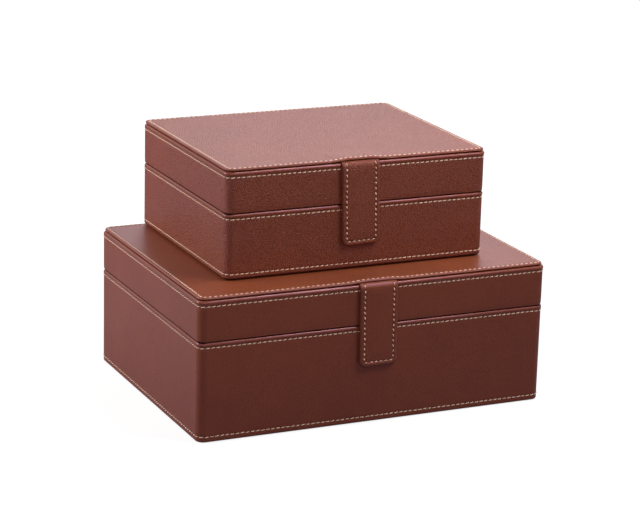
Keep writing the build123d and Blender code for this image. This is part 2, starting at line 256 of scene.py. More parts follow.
def place_camera():
    """A long lens that looks a little down on the front and the left side."""
    pitch, yaw, roll = (math.radians(angle) for angle in (CAMERA_PITCH, CAMERA_YAW, CAMERA_ROLL))
    ahead = Vector((-math.sin(yaw) * math.cos(pitch), math.cos(yaw) * math.cos(pitch), -math.sin(pitch)))
    sideways = Vector((math.cos(yaw), math.sin(yaw), 0.0))
    upward = sideways.cross(ahead)
    right = sideways * math.cos(roll) + upward * math.sin(roll)
    up = upward * math.cos(roll) - sideways * math.sin(roll)
    lens = bpy.data.cameras.new("camera")
    lens.lens = CAMERA_LENS
    lens.sensor_width = 36.0
    lens.clip_start = 0.05
    lens.clip_end = 50.0
    camera = bpy.data.objects.new("camera", lens)
    turn = Matrix((right, up, -ahead)).transposed().to_4x4()
    camera.matrix_world = Matrix.Translation(Vector(CAMERA_PLACE) * MM) @ turn
    bpy.context.scene.collection.objects.link(camera)
    bpy.context.scene.camera = camera


def softbox(name, bearing, height, distance, size, power):
    """A square lamp facing the boxes: bearing and height in degrees, lengths in metres, power in watts."""
    light = bpy.data.lights.new(name, "AREA")
    light.shape = "SQUARE"
    light.size = size
    light.energy = power
    lamp = bpy.data.objects.new(name, light)
    turn, lift = math.radians(bearing), math.radians(height)
    way = Vector((math.cos(turn) * math.cos(lift), math.sin(turn) * math.cos(lift), math.sin(lift)))
    face = way.to_track_quat("Z", "Y").to_matrix().to_4x4()
    lamp.matrix_world = Matrix.Translation(LAMP_AIM + way * distance) @ face
    bpy.context.scene.collection.objects.link(lamp)


def seen_directly(tree):
    """1 for a ray that shows the background, from the camera or in a reflection, and 0 for a ray of light."""
    path = add(tree, "LightPath").outputs
    shown = calculate(tree, "MAXIMUM", path["Is Camera Ray"], path["Is Glossy Ray"])
    return calculate(tree, "MAXIMUM", shown, path["Is Transmission Ray"])


def seen_by_camera(tree):
    """1 for the camera's own rays and 0 for others."""
    return add(tree, "LightPath").outputs["Is Camera Ray"]


def light_studio():
    """White surroundings, and soft lamps above the front, at the left, at the near corner and behind."""
    world = bpy.data.worlds.new("studio")
    world.use_nodes = True
    bpy.context.scene.world = world
    tree = world.node_tree
    tint = mix(tree, seen_by_camera(tree), *SURROUNDINGS)
    plug(tree, tree.nodes["Background"], {"Strength": seen_directly(tree), "Color": tint})
    for lamp in LAMPS:
        softbox(*lamp)


def lay_floor():
    """A wide pale floor that shows the soft shadow of the boxes."""
    mesh = bpy.data.meshes.new("floor")
    turns = [math.tau * n / FLOOR_SIDES for n in range(FLOOR_SIDES)]
    rim = [(FLOOR_REACH * math.cos(a), FLOOR_REACH * math.sin(a), 0) for a in turns]
    mesh.from_pydata(rim, [], [list(range(FLOOR_SIDES))])
    mesh.materials.append(matt_paper())
    floor = bpy.data.objects.new("floor", mesh)
    bpy.context.scene.collection.objects.link(floor)


# ---------------- materials

GRAIN_BEND = 5.0  # over which the pattern of pebbles wanders
GRAIN_SHIFT = 1.2  # and how far
PEBBLE_SLOPE = 0.3  # the share of a pebble that falls away to its crease
PORE = 0.35
PORE_HEIGHT = 0.35  # against a pebble's
HIDE_SWELL = 22.0  # the hide's own slow waves
HIDE_SWELL_HEIGHT = 1.2
RUBBED_GRAIN = 0.15  # what is left of the grain where it is rubbed
CREASE_ROUGHNESS = 0.42
PEBBLE_ROUGHNESS = 0.3
RUBBED_ROUGHNESS = 0.24
DYE_PATCH = 55.0


def finish(name):
    """A new material, its node tree and its shader."""
    material = bpy.data.materials.new(name)
    material.use_nodes = True
    return material, material.node_tree, material.node_tree.nodes["Principled BSDF"]


def noise(tree, place, size, detail, roughness=0.5, distortion=0.0):
    """The outputs of a cloudy noise whose patches are about a size across, in millimetres."""
    sockets = {"Vector": place, "Scale": 1000 / size, "Detail": detail}
    sockets.update({"Roughness": roughness, "Distortion": distortion})
    return add(tree, "TexNoise", sockets).outputs


def relief(tree, height, strength, depth, **sockets):
    """Light and shade on a relief of a depth in millimetres."""
    sockets.update({"Height": height, "Strength": strength, "Distance": depth * MM})
    return add(tree, "Bump", sockets).outputs[0]


def matt_paper():
    """Matt white background paper: no gloss, white to the camera, dimmer and rosy in the leather's gloss."""
    material, tree, sheet = finish("matt_white_paper")
    shown = seen_directly(tree)
    place = add(tree, "TexCoord").outputs["Object"]
    reach = add(tree, "VectorMath", {0: place}, operation="LENGTH").outputs["Value"]
    glow = stretch(tree, reach, from_min=0.2, from_max=0.9, to_min=0.8)
    plug(tree, sheet, {
        "Base Color": mix(tree, shown, *FLOOR_TONES),
        "Emission Strength": calculate(tree, "MULTIPLY", glow, shown),
        "Emission Color": mix(tree, seen_by_camera(tree), *FLOOR_GLOW),
        "Roughness": 1.0,
        "Specular IOR Level": 0.0,
    })
    return material


def pebbled_leather(name, pebble, depth, crease, light, pale):
    """Drum-dyed cowhide, pressed: soft pebbles, dark creases and a waxy sheen at low angles."""
    material, tree, skin = finish(name)
    place = add(tree, "TexCoord").outputs["Object"]
    rub = add(tree, "Attribute", attribute_name="rub").outputs["Fac"]
    domes = pressed_pebbles(tree, place, pebble)
    wax = stretch(tree, domes, to_min=CREASE_ROUGHNESS, to_max=PEBBLE_ROUGHNESS)
    plug(tree, skin, {
        "Base Color": hide_colour(tree, place, domes, crease, light, pale),
        "Normal": hide_relief(tree, place, domes, rub, depth),
        "Roughness": add(tree, "Mix", {"Factor": rub, "A": wax, "B": RUBBED_ROUGHNESS}).outputs[0],
        "IOR": 1.45,
        "Specular IOR Level": 0.5,
        "Specular Tint": linear("#ffc8f0"),
    })
    return material


def pressed_pebbles(tree, place, size):
    """The pressed grain: 1 on top of a pebble and 0 in the creases between them."""
    wander = noise(tree, place, GRAIN_BEND, 1.0)["Color"]
    reach = [GRAIN_SHIFT * MM] * 3
    shift = add(tree, "VectorMath", {0: wander, 1: reach}, operation="MULTIPLY").outputs[0]
    uneven = add(tree, "VectorMath", {0: place, 1: shift}, operation="ADD").outputs[0]
    cells = add(tree, "TexVoronoi", {"Vector": uneven, "Scale": 1000 / size}, feature="DISTANCE_TO_EDGE")
    slope = {"Value": cells.outputs["Distance"], "From Max": PEBBLE_SLOPE}
    return add(tree, "MapRange", slope, interpolation_type="SMOOTHSTEP").outputs[0]


def hide_relief(tree, place, domes, rub, depth):
    """Pebbles and pores over the hide's slow waves, flatter where the leather is rubbed."""
    pores = noise(tree, place, PORE, 2.0)["Fac"]
    height = calculate(tree, "MULTIPLY_ADD", pores, PORE_HEIGHT, domes)
    waves = relief(tree, noise(tree, place, HIDE_SWELL, 1.5)["Fac"], 0.25, HIDE_SWELL_HEIGHT)
    worn = stretch(tree, rub, to_min=1.0, to_max=RUBBED_GRAIN)
    return relief(tree, height, worn, depth, Normal=waves)


def hide_colour(tree, place, domes, crease, light, pale):
    """Dye that drifts between two browns, darker in the creases, and nearly black where the shade of the
    split and the foot's contact shadow are painted on.
    """
    drift = stretch(tree, noise(tree, place, DYE_PATCH, 3.0, 0.6)["Fac"], from_min=0.3, from_max=0.7)
    depth = stretch(tree, domes, to_min=crease, to_max=0.0)
    painted_shade = add(tree, "Attribute", attribute_name="painted_shade").outputs["Fac"]
    grained = mix(tree, depth, mix(tree, drift, light, pale), "#5c2c19")
    # painted shade: the leather turns nearly black along the split under the lid and in a contact shadow up
    # from the foot
    return mix(tree, painted_shade, grained, "#2e0d06")


def waxed_thread():
    """Waxed polyester sewing thread in sand: two plies laid round each other, soft in gloss."""
    material, tree, fibre = finish("waxed_sand_thread")
    strand = {"Vector": add(tree, "UVMap").outputs[0], "Scale": 0.55, "Distortion": 0.4}
    plies = add(tree, "TexWave", strand, bands_direction="DIAGONAL").outputs["Fac"]
    plug(tree, fibre, {
        "Base Color": mix(tree, plies, "#ffd2b2", "#ffe4ce"),
        "Normal": relief(tree, plies, 0.6, 0.15),
        "Roughness": 0.45,
        "Sheen Weight": 0.15,
    })
    return material


def suede():
    """Split suede, brushed: a matt nap that lies in drifting patches."""
    material, tree, nap = finish("brushed_taupe_suede")
    place = add(tree, "TexCoord").outputs["Object"]
    fibres = noise(tree, place, 0.4, 2.0)["Fac"]
    mixed = calculate(tree, "MULTIPLY_ADD", fibres, 0.5, noise(tree, place, 18.0, 3.0)["Fac"])
    plug(tree, nap, {
        "Base Color": mix(tree, stretch(tree, mixed, from_min=0.5), "#6a5748", "#8a7361"),
        "Normal": relief(tree, fibres, 0.5, 0.2),
        "Roughness": 0.95,
        "Specular IOR Level": 0.15,
        "Sheen Weight": 0.5,
        "Sheen Roughness": 0.5,
    })
    return material


def pressed_felt():
    """Black wool felt, pressed: matt, with short fibres lying every way."""
    material, tree, wool = finish("pressed_black_felt")
    place = add(tree, "TexCoord").outputs["Object"]
    fibres = noise(tree, place, 0.6, 4.0, distortion=1.5)["Fac"]
    plug(tree, wool, {
        "Base Color": mix(tree, fibres, "#131211", "#2b2927"),
        "Normal": relief(tree, fibres, 0.8, 0.3),
        "Roughness": 1.0,
        "Specular IOR Level": 0.1,
    })
    return material


def fibreboard():
    """Medium-density fibreboard, sawn: matt brown with fine flecks of fibre."""
    material, tree, board = finish("sawn_fibreboard")
    place = add(tree, "TexCoord").outputs["Object"]
    flecks = noise(tree, place, 1.2, 4.0, 0.7)["Fac"]
    colour = mix(tree, flecks, "#7a6049", "#a98b6b")
    plug(tree, board, {"Base Color": colour, "Normal": relief(tree, flecks, 0.3, 0.1), "Roughness": 0.9})
    return material


def satin_metal(name, colour, worn_colour, roughness):
    """A plated metal rubbed to a satin: a soft mirror, duller where it has been handled."""
    material, tree, metal = finish(name)
    place = add(tree, "TexCoord").outputs["Object"]
    handling = noise(tree, place, 4.0, 3.0)["Fac"]
    tint = mix(tree, handling, colour, worn_colour)
    dulled = stretch(tree, handling, to_min=roughness - 0.08, to_max=roughness + 0.1)
    plug(tree, metal, {"Base Color": tint, "Roughness": dulled, "Metallic": 1.0})
    return material


# ---------------- outlines, skins and stitches

class Outline:
    """A round-cornered rectangle, walked anticlockwise from the front end of its right side."""

    def __init__(self, width, depth, middle, corner, row_inset=0.0, plain=False):
        self.half = np.array([width / 2, depth / 2])
        self.middle = middle
        self.corner = corner
        radius = max(corner - row_inset, 0.5)
        core = self.half - row_inset - radius
        arc = math.pi / 2 * radius
        runs = [2 * core[1], arc, 2 * core[0], arc, 2 * core[1], arc, 2 * core[0], arc]
        self.marks = np.concatenate([[0.0], np.cumsum(runs)])
        self.length = self.marks[-1]
        self.stitches = round(self.length / STITCH_PITCH)
        count = self.stitches * SAMPLES_PER_STITCH
        self.walk = np.arange(count) * self.length / count
        if plain:
            steps = zip(self.marks, self.marks[1:], [SIDE_STEPS, CORNER_STEPS] * 4)
            self.walk = np.concatenate([np.linspace(*step, endpoint=False) for step in steps])
        self.holes = needle_holes(count)

    def at(self, walk, inset, corner):
        """Points in plan and the outward direction there, at some distances along the outline."""
        walk = np.mod(walk, self.length)
        share_x = np.interp(walk, self.marks, [1, 1, 1, -1, -1, -1, -1, 1, 1])
        share_y = np.interp(walk, self.marks, [-1, 1, 1, 1, 1, -1, -1, -1, -1])
        angle = np.radians(np.interp(walk, self.marks, [0, 0, 90, 90, 180, 180, 270, 270, 360]))
        outward = np.stack([np.cos(angle), np.sin(angle)], -1)
        core_x = self.half[0] - inset - corner
        core_y = self.half[1] - inset - corner
        plan = self.middle + np.stack([share_x * core_x, share_y * core_y], -1)
        return plan + np.expand_dims(corner * np.ones_like(walk), -1) * outward, outward

    def ring(self, inset, height, corner=None):
        """One ring of points at an inset and a height, each a number or one for every sample."""
        if corner is None:
            corner = max(self.corner - float(np.min(inset)), LINING_CORNER)
        plan = self.at(self.walk, inset, corner)[0]
        return np.column_stack([plan, height * np.ones(len(plan))])

    def rings(self, profile):
        """Rings for each inset and height of a profile."""
        return [self.ring(inset, height) for inset, height in profile]


def needle_holes(count):
    """1 at the samples where two stitches share a needle hole, and near 0 between."""
    gaps = np.arange(count) % SAMPLES_PER_STITCH / SAMPLES_PER_STITCH
    return (0.5 + 0.5 * np.cos(math.tau * gaps)) ** 3


def smooth(value, low, high):
    """0 at low, 1 at high and an even curve between, level beyond both."""
    share = np.clip((value - low) / (high - low), 0, 1)
    return share * share * (3 - 2 * share)


def skin(rings):
    """Points and faces of a skin over rings of equally many points, capped at both ends."""
    count, last = len(rings[0]), len(rings[0]) * (len(rings) - 1)
    here = np.arange(count)
    there = np.roll(here, -1)
    strips = []
    for start in range(0, last, count):
        strips.append(np.stack([start + here, start + there, start + count + there, start + count + here], 1))
    faces = np.concatenate(strips).tolist()
    faces.append(here[::-1].tolist())
    faces.append((here + last).tolist())
    return np.concatenate(rings), faces


def closed_skin(rings):
    """Points and faces of a skin whose last ring joins its first."""
    points, faces = skin(rings)
    last = len(rings[0]) * (len(rings) - 1)
    here = np.arange(len(rings[0]))
    there = np.roll(here, -1)
    bridge = np.stack([last + here, last + there, there, here], 1).tolist()
    return points, faces[:-2] + bridge


def brick(near, far):
    """A plain block between two corners, as a cutting tool."""
    low, high = Vector(near) * MM, Vector(far) * MM
    mesh = bpy.data.meshes.new("brick")
    points = [(x, y, z) for x in (low.x, high.x) for y in (low.y, high.y) for z in (low.z, high.z)]
    sides = [(0, 1, 3, 2), (4, 6, 7, 5), (0, 4, 5, 1), (2, 3, 7, 6), (0, 2, 6, 4), (1, 5, 7, 3)]
    mesh.from_pydata(points, [], sides)
    tool = bpy.data.objects.new("brick", mesh)
    bpy.context.scene.collection.objects.link(tool)
    return tool


def cut(made, bricks):
    """Cuts bricks out of a piece."""
    tools = [brick(near, far) for near, far in bricks]
    for tool in tools:
        step = made.modifiers.new("cut", "BOOLEAN")
        step.operation = "DIFFERENCE"
        step.solver = "EXACT"
        step.object = tool
    bpy.context.view_layer.update()
    whole = made.evaluated_get(bpy.context.evaluated_depsgraph_get())
    made.data = bpy.data.meshes.new_from_object(whole)
    made.modifiers.clear()
    for tool in tools:
        bpy.data.objects.remove(tool)


def piece(name, shape, material, body, slot, replaces, uv=None, bricks=(), marks=None):
    """Makes a mesh of points in millimetres and faces, gives it its finish and lets it ride on its body."""
    points, faces = shape
    mesh = bpy.data.meshes.new(name)
    mesh.from_pydata((points * MM).tolist(), [], faces)
    mesh.polygons.foreach_set("use_smooth", [True] * len(mesh.polygons))
    mesh.set_sharp_from_angle(angle=math.radians(SHARP_TURN))
    if uv is not None:
        layer = mesh.uv_layers.new(name="strand")
        corners = np.zeros(len(mesh.loops), dtype=int)
        mesh.loops.foreach_get("vertex_index", corners)
        layer.data.foreach_set("uv", uv[corners].ravel())
    for mark, values in (marks or {}).items():
        mesh.attributes.new(mark, "FLOAT", "POINT").data.foreach_set("value", values)
    mesh.materials.append(material)
    made = bpy.data.objects.new(name, mesh)
    bpy.context.scene.collection.objects.link(made)
    if bricks:
        cut(made, bricks)
    if body:
        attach(made, body)
    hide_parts(*replaces)
    return made


def quarter(inset, height, radius, start, end, steps):
    """Insets and heights round an edge; 0 degrees points outward and 90 points up."""
    angles = np.radians(np.linspace(start, end, steps))
    return [(inset - radius * math.cos(a), height + radius * math.sin(a)) for a in angles]


def furrow_depth(share, holes, deeper=NEEDLE_HOLE):
    """How deep the leather is drawn in at one share of a furrow, deeper at the needle holes."""
    return share * (FURROW_DEPTH + deeper * holes * share ** 2)


def across_furrow(holes):
    """Places across the furrow of a row of stitches, from its middle, and the depth at each."""
    return [(place * FURROW_HALF, furrow_depth(share, holes)) for place, share in FURROW]


def furrow_on_side(outline, height):
    """Rings across the furrow of a row of stitches on an upright side."""
    furrow = across_furrow(outline.holes)
    return [outline.ring(depth, height + place, outline.corner) for place, depth in furrow]


def stitch_shape():
    """One stitch along, across and out, an arch whose ends dive into needle holes; its faces and strand."""
    points, strand = [], []
    for station in np.linspace(-1, 1, STITCH_STATIONS):
        fullness = math.sqrt(max(1 - abs(station) ** 4, 0.0)) * (1 - END_FULLNESS) + END_FULLNESS
        arch = ARCH_HEIGHT - ARCH_DIVE * abs(station) ** ARCH_POWER
        for angle in np.arange(STRAND_SIDES) * math.tau / STRAND_SIDES:
            across = THREAD_WIDTH / 2 * fullness * math.cos(angle)
            out = arch + THREAD_HEIGHT / 2 * fullness * math.sin(angle)
            points.append((station * STITCH_LENGTH / 2, across, out))
            strand.append((station * STITCH_LENGTH / 2, angle / math.tau * 2.0))
    faces = []
    last = (STITCH_STATIONS - 1) * STRAND_SIDES
    for first in range(0, last, STRAND_SIDES):
        for n in range(STRAND_SIDES):
            m = (n + 1) % STRAND_SIDES
            faces.append((first + n, first + m, first + STRAND_SIDES + m, first + STRAND_SIDES + n))
    faces.append(tuple(range(STRAND_SIDES))[::-1])
    faces.append(tuple(range(last, last + STRAND_SIDES)))
    return np.array(points), faces, np.array(strand)


STITCH, STITCH_FACES, STITCH_STRAND = stitch_shape()


def sew(middles, lay, length=STITCH_LENGTH):
    """Stitches at some distances along a row; lay maps along, across and out to points in space."""
    points, faces, strands = [], [], []
    for number, middle in enumerate(middles):
        slant = math.radians(STITCH_SLANT + chance.normal(0, SLANT_SPREAD))
        along = STITCH[:, 0] * length / STITCH_LENGTH * (1 + chance.normal(0, LENGTH_SPREAD))
        across = STITCH[:, 1] + along * math.tan(slant) + chance.normal(0, ACROSS_SPREAD)
        out = STITCH[:, 2] + chance.normal(0, OUT_SPREAD)
        points.append(lay(middle + along, across, out))
        first = number * len(STITCH)
        faces.extend(tuple(first + corner for corner in face) for face in STITCH_FACES)
        strands.append(STITCH_STRAND)
    return np.concatenate(points), faces, np.concatenate(strands)


def join(*shapes):
    """Several sets of points, faces and strands as one."""
    points, faces, strands, first = [], [], [], 0
    for some_points, some_faces, some_strands in shapes:
        points.append(some_points)
        faces.extend(tuple(first + corner for corner in face) for face in some_faces)
        strands.append(some_strands)
        first += len(some_points)
    return np.concatenate(points), faces, np.concatenate(strands)


def stitch_middles(outline):
    """Distances along an outline to the middle of each stitch."""
    return (np.arange(outline.stitches) + 0.5) * outline.length / outline.stitches


def stitches_on_side(outline, height):
    """A row of stitches round the upright side of a box."""
    def lay(along, across, out):
        plan, outward = outline.at(along, 0.0, outline.corner)
        return np.column_stack([plan + outward * out[:, None], height + across])

    return sew(stitch_middles(outline), lay)


# ---------------- the pieces of one box

class Box:
    """The levels and faces of one box in millimetres, as its CAD pieces give them."""

    def __init__(self, name):
        self.name = name
        low, high = self.corners("base_cover")
        self.bottom, self.base_rim = low[2], high[2]
        self.front, self.back = low[1], high[1]
        self.middle = (low[:2] + high[:2]) / 2
        width, depth = high[0] - low[0], high[1] - low[1]
        self.side = Outline(width, depth, self.middle, CORNER)
        inset = PANEL_INSETS[name]
        self.panel_row = PANEL_ROW - inset
        self.panel = Outline(width - 2 * inset, depth - 2 * inset, self.middle, PANEL_CORNER, self.panel_row)
        low, high = self.corners("lid_cover")
        self.lid_rim, self.band_top = low[2], high[2]
        self.split = (self.base_rim + self.lid_rim) / 2
        self.top = self.corners("top_panel_cover")[1][2] - CAD_RISE
        self.rise = RISE_HEIGHTS[name]
        self.foot = self.corners("foot_felt")[0][2]
        low, high = self.corners("tab_strap")
        self.strap_end = low[2]
        self.strap_middle = (low[1] + high[1]) / 2

    def corners(self, node):
        """Lowest and highest corner of one of the box's CAD nodes."""
        low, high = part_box(f"{self.name}_{node}")
        return np.array(low) / MM, np.array(high) / MM

    def add(self, name, shape, material, body, slot, replaces, **extras):
        """Makes one piece of this box; the names of piece, body and nodes are given without the box's own."""
        nodes = [f"{self.name}_{node}" for node in replaces]
        rides = f"{self.name}_{body}" if body else None
        return piece(f"{self.name}_{name}", shape, material, rides, slot, nodes, **extras)


def bead(box, edge, radius):
    """Rings over a turned edge, where the leather puffs out beyond its stitches, less so at the hinges."""
    out = box.side
    place = out.ring(0.0, 0.0)
    aside = np.abs(place[:, 0] - box.middle[0])
    pressed = (1 - smooth(aside, TAB_HALF, TAB_HALF + PRESSED_FADE)) * (place[:, 1] < box.middle[1])
    calm = 1 - smooth(place[:, 1], box.back - HINGE_CALM[0], box.back - HINGE_CALM[1])
    puff = (BEAD - (BEAD - PRESSED_BEAD) * pressed) * calm
    turn = quarter(radius, edge - radius, radius, 0, 90, 9)
    rings = out.rings((-puff * share, edge - radius - drop) for share, drop in BEAD_SWELL)
    return rings + out.rings((inset - puff, z) for inset, z in turn)


def base_cover(box):
    """The base's leather: under the bottom, up the sides, over the rim and down to the boards inside."""
    low, rim, out = box.bottom, box.base_rim, box.side
    bottom_row, rim_row = box.foot + BOTTOM_ROW, box.split - RIM_ROW
    radius = BOTTOM_ROUNDS[box.name]
    rings = out.rings((inset, low) for inset in UNDER_FLAT)
    rings += out.rings(quarter(radius, low + radius, radius, -90, 0, 9))
    rings += furrow_on_side(out, bottom_row)
    rings += out.rings((0.0, z) for z in np.linspace(bottom_row + ROW_MARGIN, rim_row - ROW_MARGIN, 5))
    rings += furrow_on_side(out, rim_row)
    rings += bead(box, rim, BASE_RIM_ROUND)
    rings += out.rings((inset, rim) for inset in RIM_FLAT)
    rings += out.rings(quarter(WALL - INNER_ROUND, rim - INNER_ROUND, INNER_ROUND, 90, 180, 4))
    rings += out.rings((inset, rim - LEATHER) for inset in BOARD_FLAT)
    rings += out.rings(quarter(radius, low + radius, radius - LEATHER, 0, -90, 5))
    rings += [out.ring(INSIDE_FLAT, low + LEATHER)]
    return skin(rings)


def painted_edge_shade(box, points):
    """How much shade is painted on the base's leather: a dark line along the rim under the lid for the shade
    of the split, and a contact shadow that fades up from the foot.
    """
    inset = np.min(box.side.half - np.abs(points[:, :2] - box.middle), axis=1)
    on_rim = points[:, 2] > box.base_rim - RIM_SHADE_LEVEL
    begins = smooth(inset, RIM_SHADE_START, RIM_SHADE_START + RIM_SHADE_FADES[0])
    ends = smooth(inset, RIM_SHADE_END, RIM_SHADE_END + RIM_SHADE_FADES[1])
    # painted contact shadow: darkest at the foot, fading upward
    foot = 1 - smooth(points[:, 2] - box.bottom, FOOT_SHADE_START, FOOT_SHADE_REACHES[box.name])
    return np.maximum(on_rim * begins * (1 - ends), foot)


def edge_rub(points, edge):
    """How smooth the leather is rubbed along a turned edge, where stretching and hands flatten its grain."""
    return 1 - smooth(edge - points[:, 2], RUB_START, RUB_START + RUB_FADE)


def lid_cover(box):
    """The leather of the lid's band: from the boards inside, round the rim, up the sides, over the top."""
    rim, high, out = box.lid_rim, box.band_top, box.side
    edge = rim + SPLIT_SHADE
    turned = quarter(LID_RIM_ROUND, edge + LID_RIM_ROUND, LID_RIM_ROUND, -90, 0, 6)
    rings = out.rings((inset, high - LEATHER) for inset in (INSIDE_FLAT, LEATHER))
    rings += out.rings((inset, rim + LEATHER) for inset in BOARD_FLAT[::-1])
    rings += out.rings(quarter(WALL - INNER_ROUND, rim + INNER_ROUND, INNER_ROUND, 180, 270, 4))
    rings += out.rings((inset, rim) for inset in LID_RIM_FLAT)
    rings += out.rings((inset, edge) for inset in LID_EDGE_FLAT)
    rings += out.rings((inset + LID_RECESS, z) for inset, z in turned)
    rings += out.rings((LID_RECESS * share, edge + z) for share, z in LID_RECESS_FADE)
    rings += out.rings((0.0, z) for z in np.linspace(rim + LID_SIDE_START, high - BAND_ROW - ROW_MARGIN, 4))
    rings += furrow_on_side(out, high - BAND_ROW)
    rings += bead(box, high, BAND_ROUND)
    rings += out.rings((inset, high) for inset in BAND_FLAT)
    return skin(rings)


def rise(box, x, y):
    """How far the top panel is lifted at a place in plan by the tab's tongue under it."""
    across = 1 - smooth(np.abs(x - box.middle[0]), RISE_HALF_TOP, RISE_HALF_FOOT)
    along = 1 - smooth(y, box.front + RISE_START, box.front + RISE_END)
    return box.rise * across * along


def panel_ring(box, inset, height):
    """A ring of the top panel, lifted with it."""
    ring = box.panel.ring(inset, height, max(PANEL_CORNER - inset, PANEL_LEAST_CORNER))
    ring[:, 2] += rise(box, ring[:, 0], ring[:, 1])
    return ring


def panel_cover(box):
    """The leather over the top panel's card, from under its edge to the middle, with its row of stitches."""
    high = box.top
    lip, under = box.band_top + PANEL_SLOT, high - PANEL_LEATHER
    profile = [(inset, under) for inset in CARD_FLAT[::-1] + (PANEL_ROUND,)]
    profile += [(PANEL_LEATHER, high - PANEL_ROUND), (PANEL_LEATHER, lip)]
    profile += quarter(PANEL_UNDER_ROUND, lip + PANEL_UNDER_ROUND, PANEL_UNDER_ROUND, -90, 0, 4)
    profile += quarter(PANEL_ROUND, high - PANEL_ROUND, PANEL_ROUND, 0, 90, 9)
    profile += [(box.panel_row + place, high - depth) for place, depth in across_furrow(box.panel.holes)]
    profile += [(inset, high) for inset in PANEL_FLAT]
    return skin([panel_ring(box, inset, z) for inset, z in profile])


def panel_board(box):
    """The card inside the top panel, which bends up with it over the tongue."""
    low, high = box.band_top + CARD_ROOM, box.top - PANEL_LEATHER - CARD_ROOM
    edge, slot = PANEL_LEATHER + CARD_ROOM, PANEL_SLOT_DEPTH
    profile = [(inset, low) for inset in CARD_FLAT[:0:-1] + (slot + CARD_SLOPE,)]
    profile += [(slot, low + PANEL_SLOT), (edge, low + PANEL_SLOT)]
    profile += [(edge, high - CARD_ROUND), (edge + CARD_ROUND, high)]
    profile += [(inset, high) for inset in CARD_FLAT]
    return skin([panel_ring(box, inset, z) for inset, z in profile])


def stitches_on_panel(box):
    """The row of stitches round the top panel."""
    def lay(along, across, out):
        plan, outward = box.panel.at(along, box.panel_row, PANEL_CORNER - box.panel_row)
        plan = plan - outward * across[:, None]
        height = box.top + out - PANEL_SINK + rise(box, plan[:, 0], plan[:, 1])
        return np.column_stack([plan, height])

    return sew(stitch_middles(box.panel), lay)


class Strap:
    """The tab as a flat strip, x across and v along from the tongue's end, and the path it is bent over."""

    def __init__(self, box):
        self.box = box
        self.tongue_level = box.band_top + CARD_ROOM + TONGUE_THICKNESS / 2
        self.flat = TONGUE_LENGTH - (FOLD_RADIUS + box.strap_middle - box.front)
        self.fold = math.pi / 2 * FOLD_RADIUS
        self.drop = self.tongue_level - FOLD_RADIUS - box.strap_end
        self.length = self.flat + self.fold + self.drop
        half = TAB_HALF - TAB_ROW
        corner = TAB_CORNER - TAB_ROW
        side = self.length - TAB_ROW - corner
        arc = math.pi / 2 * corner
        runs = [side, arc, 2 * (half - corner), arc, side]
        self.marks = np.concatenate([[0.0], np.cumsum(runs)])
        self.span = self.marks[-1]
        self.stitches = round(self.span / STITCH_PITCH)
        self.walk = np.linspace(0.0, self.span, self.stitches * SAMPLES_PER_STITCH + 1)
        self.holes = needle_holes(len(self.walk))

    def outline(self, walk, inset):
        """Places on the flat strip along its edge at an inset, and the way out of it."""
        corner = max(TAB_CORNER - inset, TAB_LEAST_CORNER)
        share_x = np.interp(walk, self.marks, [-1, -1, -1, 1, 1, 1])
        share_v = np.interp(walk, self.marks, [0, 1, 1, 1, 1, 0])
        angle = np.radians(np.interp(walk, self.marks, [180, 180, 90, 90, 0, 0]))
        outward = np.stack([np.cos(angle), np.sin(angle)], -1)
        x = share_x * (TAB_HALF - inset - corner)
        v = share_v * (self.length - inset - corner)
        return np.stack([x, v], -1) + corner * outward, outward

    def bend(self, x, v, h):
        """Points in space for places on the flat strip and heights above the middle of its leather."""
        flat = np.minimum(v, self.flat)
        angle = np.clip((v - self.flat) / FOLD_RADIUS, 0, math.pi / 2)
        down = np.maximum(v - self.flat - self.fold, 0)
        sway = TAB_SWAYS[self.box.name]
        centre_y = self.box.strap_middle + FOLD_RADIUS
        y = centre_y + (self.flat - flat) - (FOLD_RADIUS + h) * np.sin(angle)
        z = self.tongue_level - FOLD_RADIUS + (FOLD_RADIUS + h) * np.cos(angle) - down
        hanging = smooth(down, 0.0, SWAY_FADE)
        return np.column_stack([self.box.middle[0] + x + sway * down, y, z + sway * hanging * x])

    def thickness(self, v):
        """The leather's thickness along the strip: pared at the tongue's end, double on the strap."""
        start = TONGUE_THICKNESS * np.clip(v / TONGUE_PARING, 0, 1)
        doubled = smooth(v, self.flat + DOUBLED_FADE[0], self.flat + self.fold + DOUBLED_FADE[1])
        return start + (TAB_THICKNESS - TONGUE_THICKNESS) * doubled

    def filling(self, edge, v):
        """How far the strap's face swells: a crown down its middle and a puff between edge and stitches."""
        start, end = self.flat, self.flat + self.fold
        crown = TAB_CROWN * smooth(edge, *TAB_CROWN_RISE) * smooth(v, end, end + TAB_FILL_FADE)
        puff = TAB_PUFF * np.sin(np.pi * np.clip(edge / TAB_ROW, 0, 1))
        return crown + puff * smooth(v, start, start + TAB_FILL_FADE)

    def furrow(self, inset, v):
        """Depth of the furrow under the stitches, which starts where the tab leaves the panel."""
        places, shares = np.transpose(FURROW)
        share = np.interp(inset, TAB_ROW + places * FURROW_HALF, shares)
        begun = smooth(v, self.flat - FURROW_FADE[0], self.flat + FURROW_FADE[1])
        return begun * furrow_depth(share, self.holes, TAB_HOLE)


def tab_border(strap):
    """The flat strip from its edge to inside the stitches: places, furrow depths and faces, ring by ring."""
    count = len(strap.walk)
    places = [strap.outline(strap.walk, inset)[0] for inset in TAB_INSETS]
    depths = [strap.furrow(inset, place[:, 1]) for inset, place in zip(TAB_INSETS, places)]
    faces = []
    for first in range(0, count * (len(TAB_INSETS) - 1), count):
        for n in range(first, first + count - 1):
            faces.append((n, n + count, n + count + 1, n + 1))
    return np.concatenate(places), np.concatenate(depths), faces


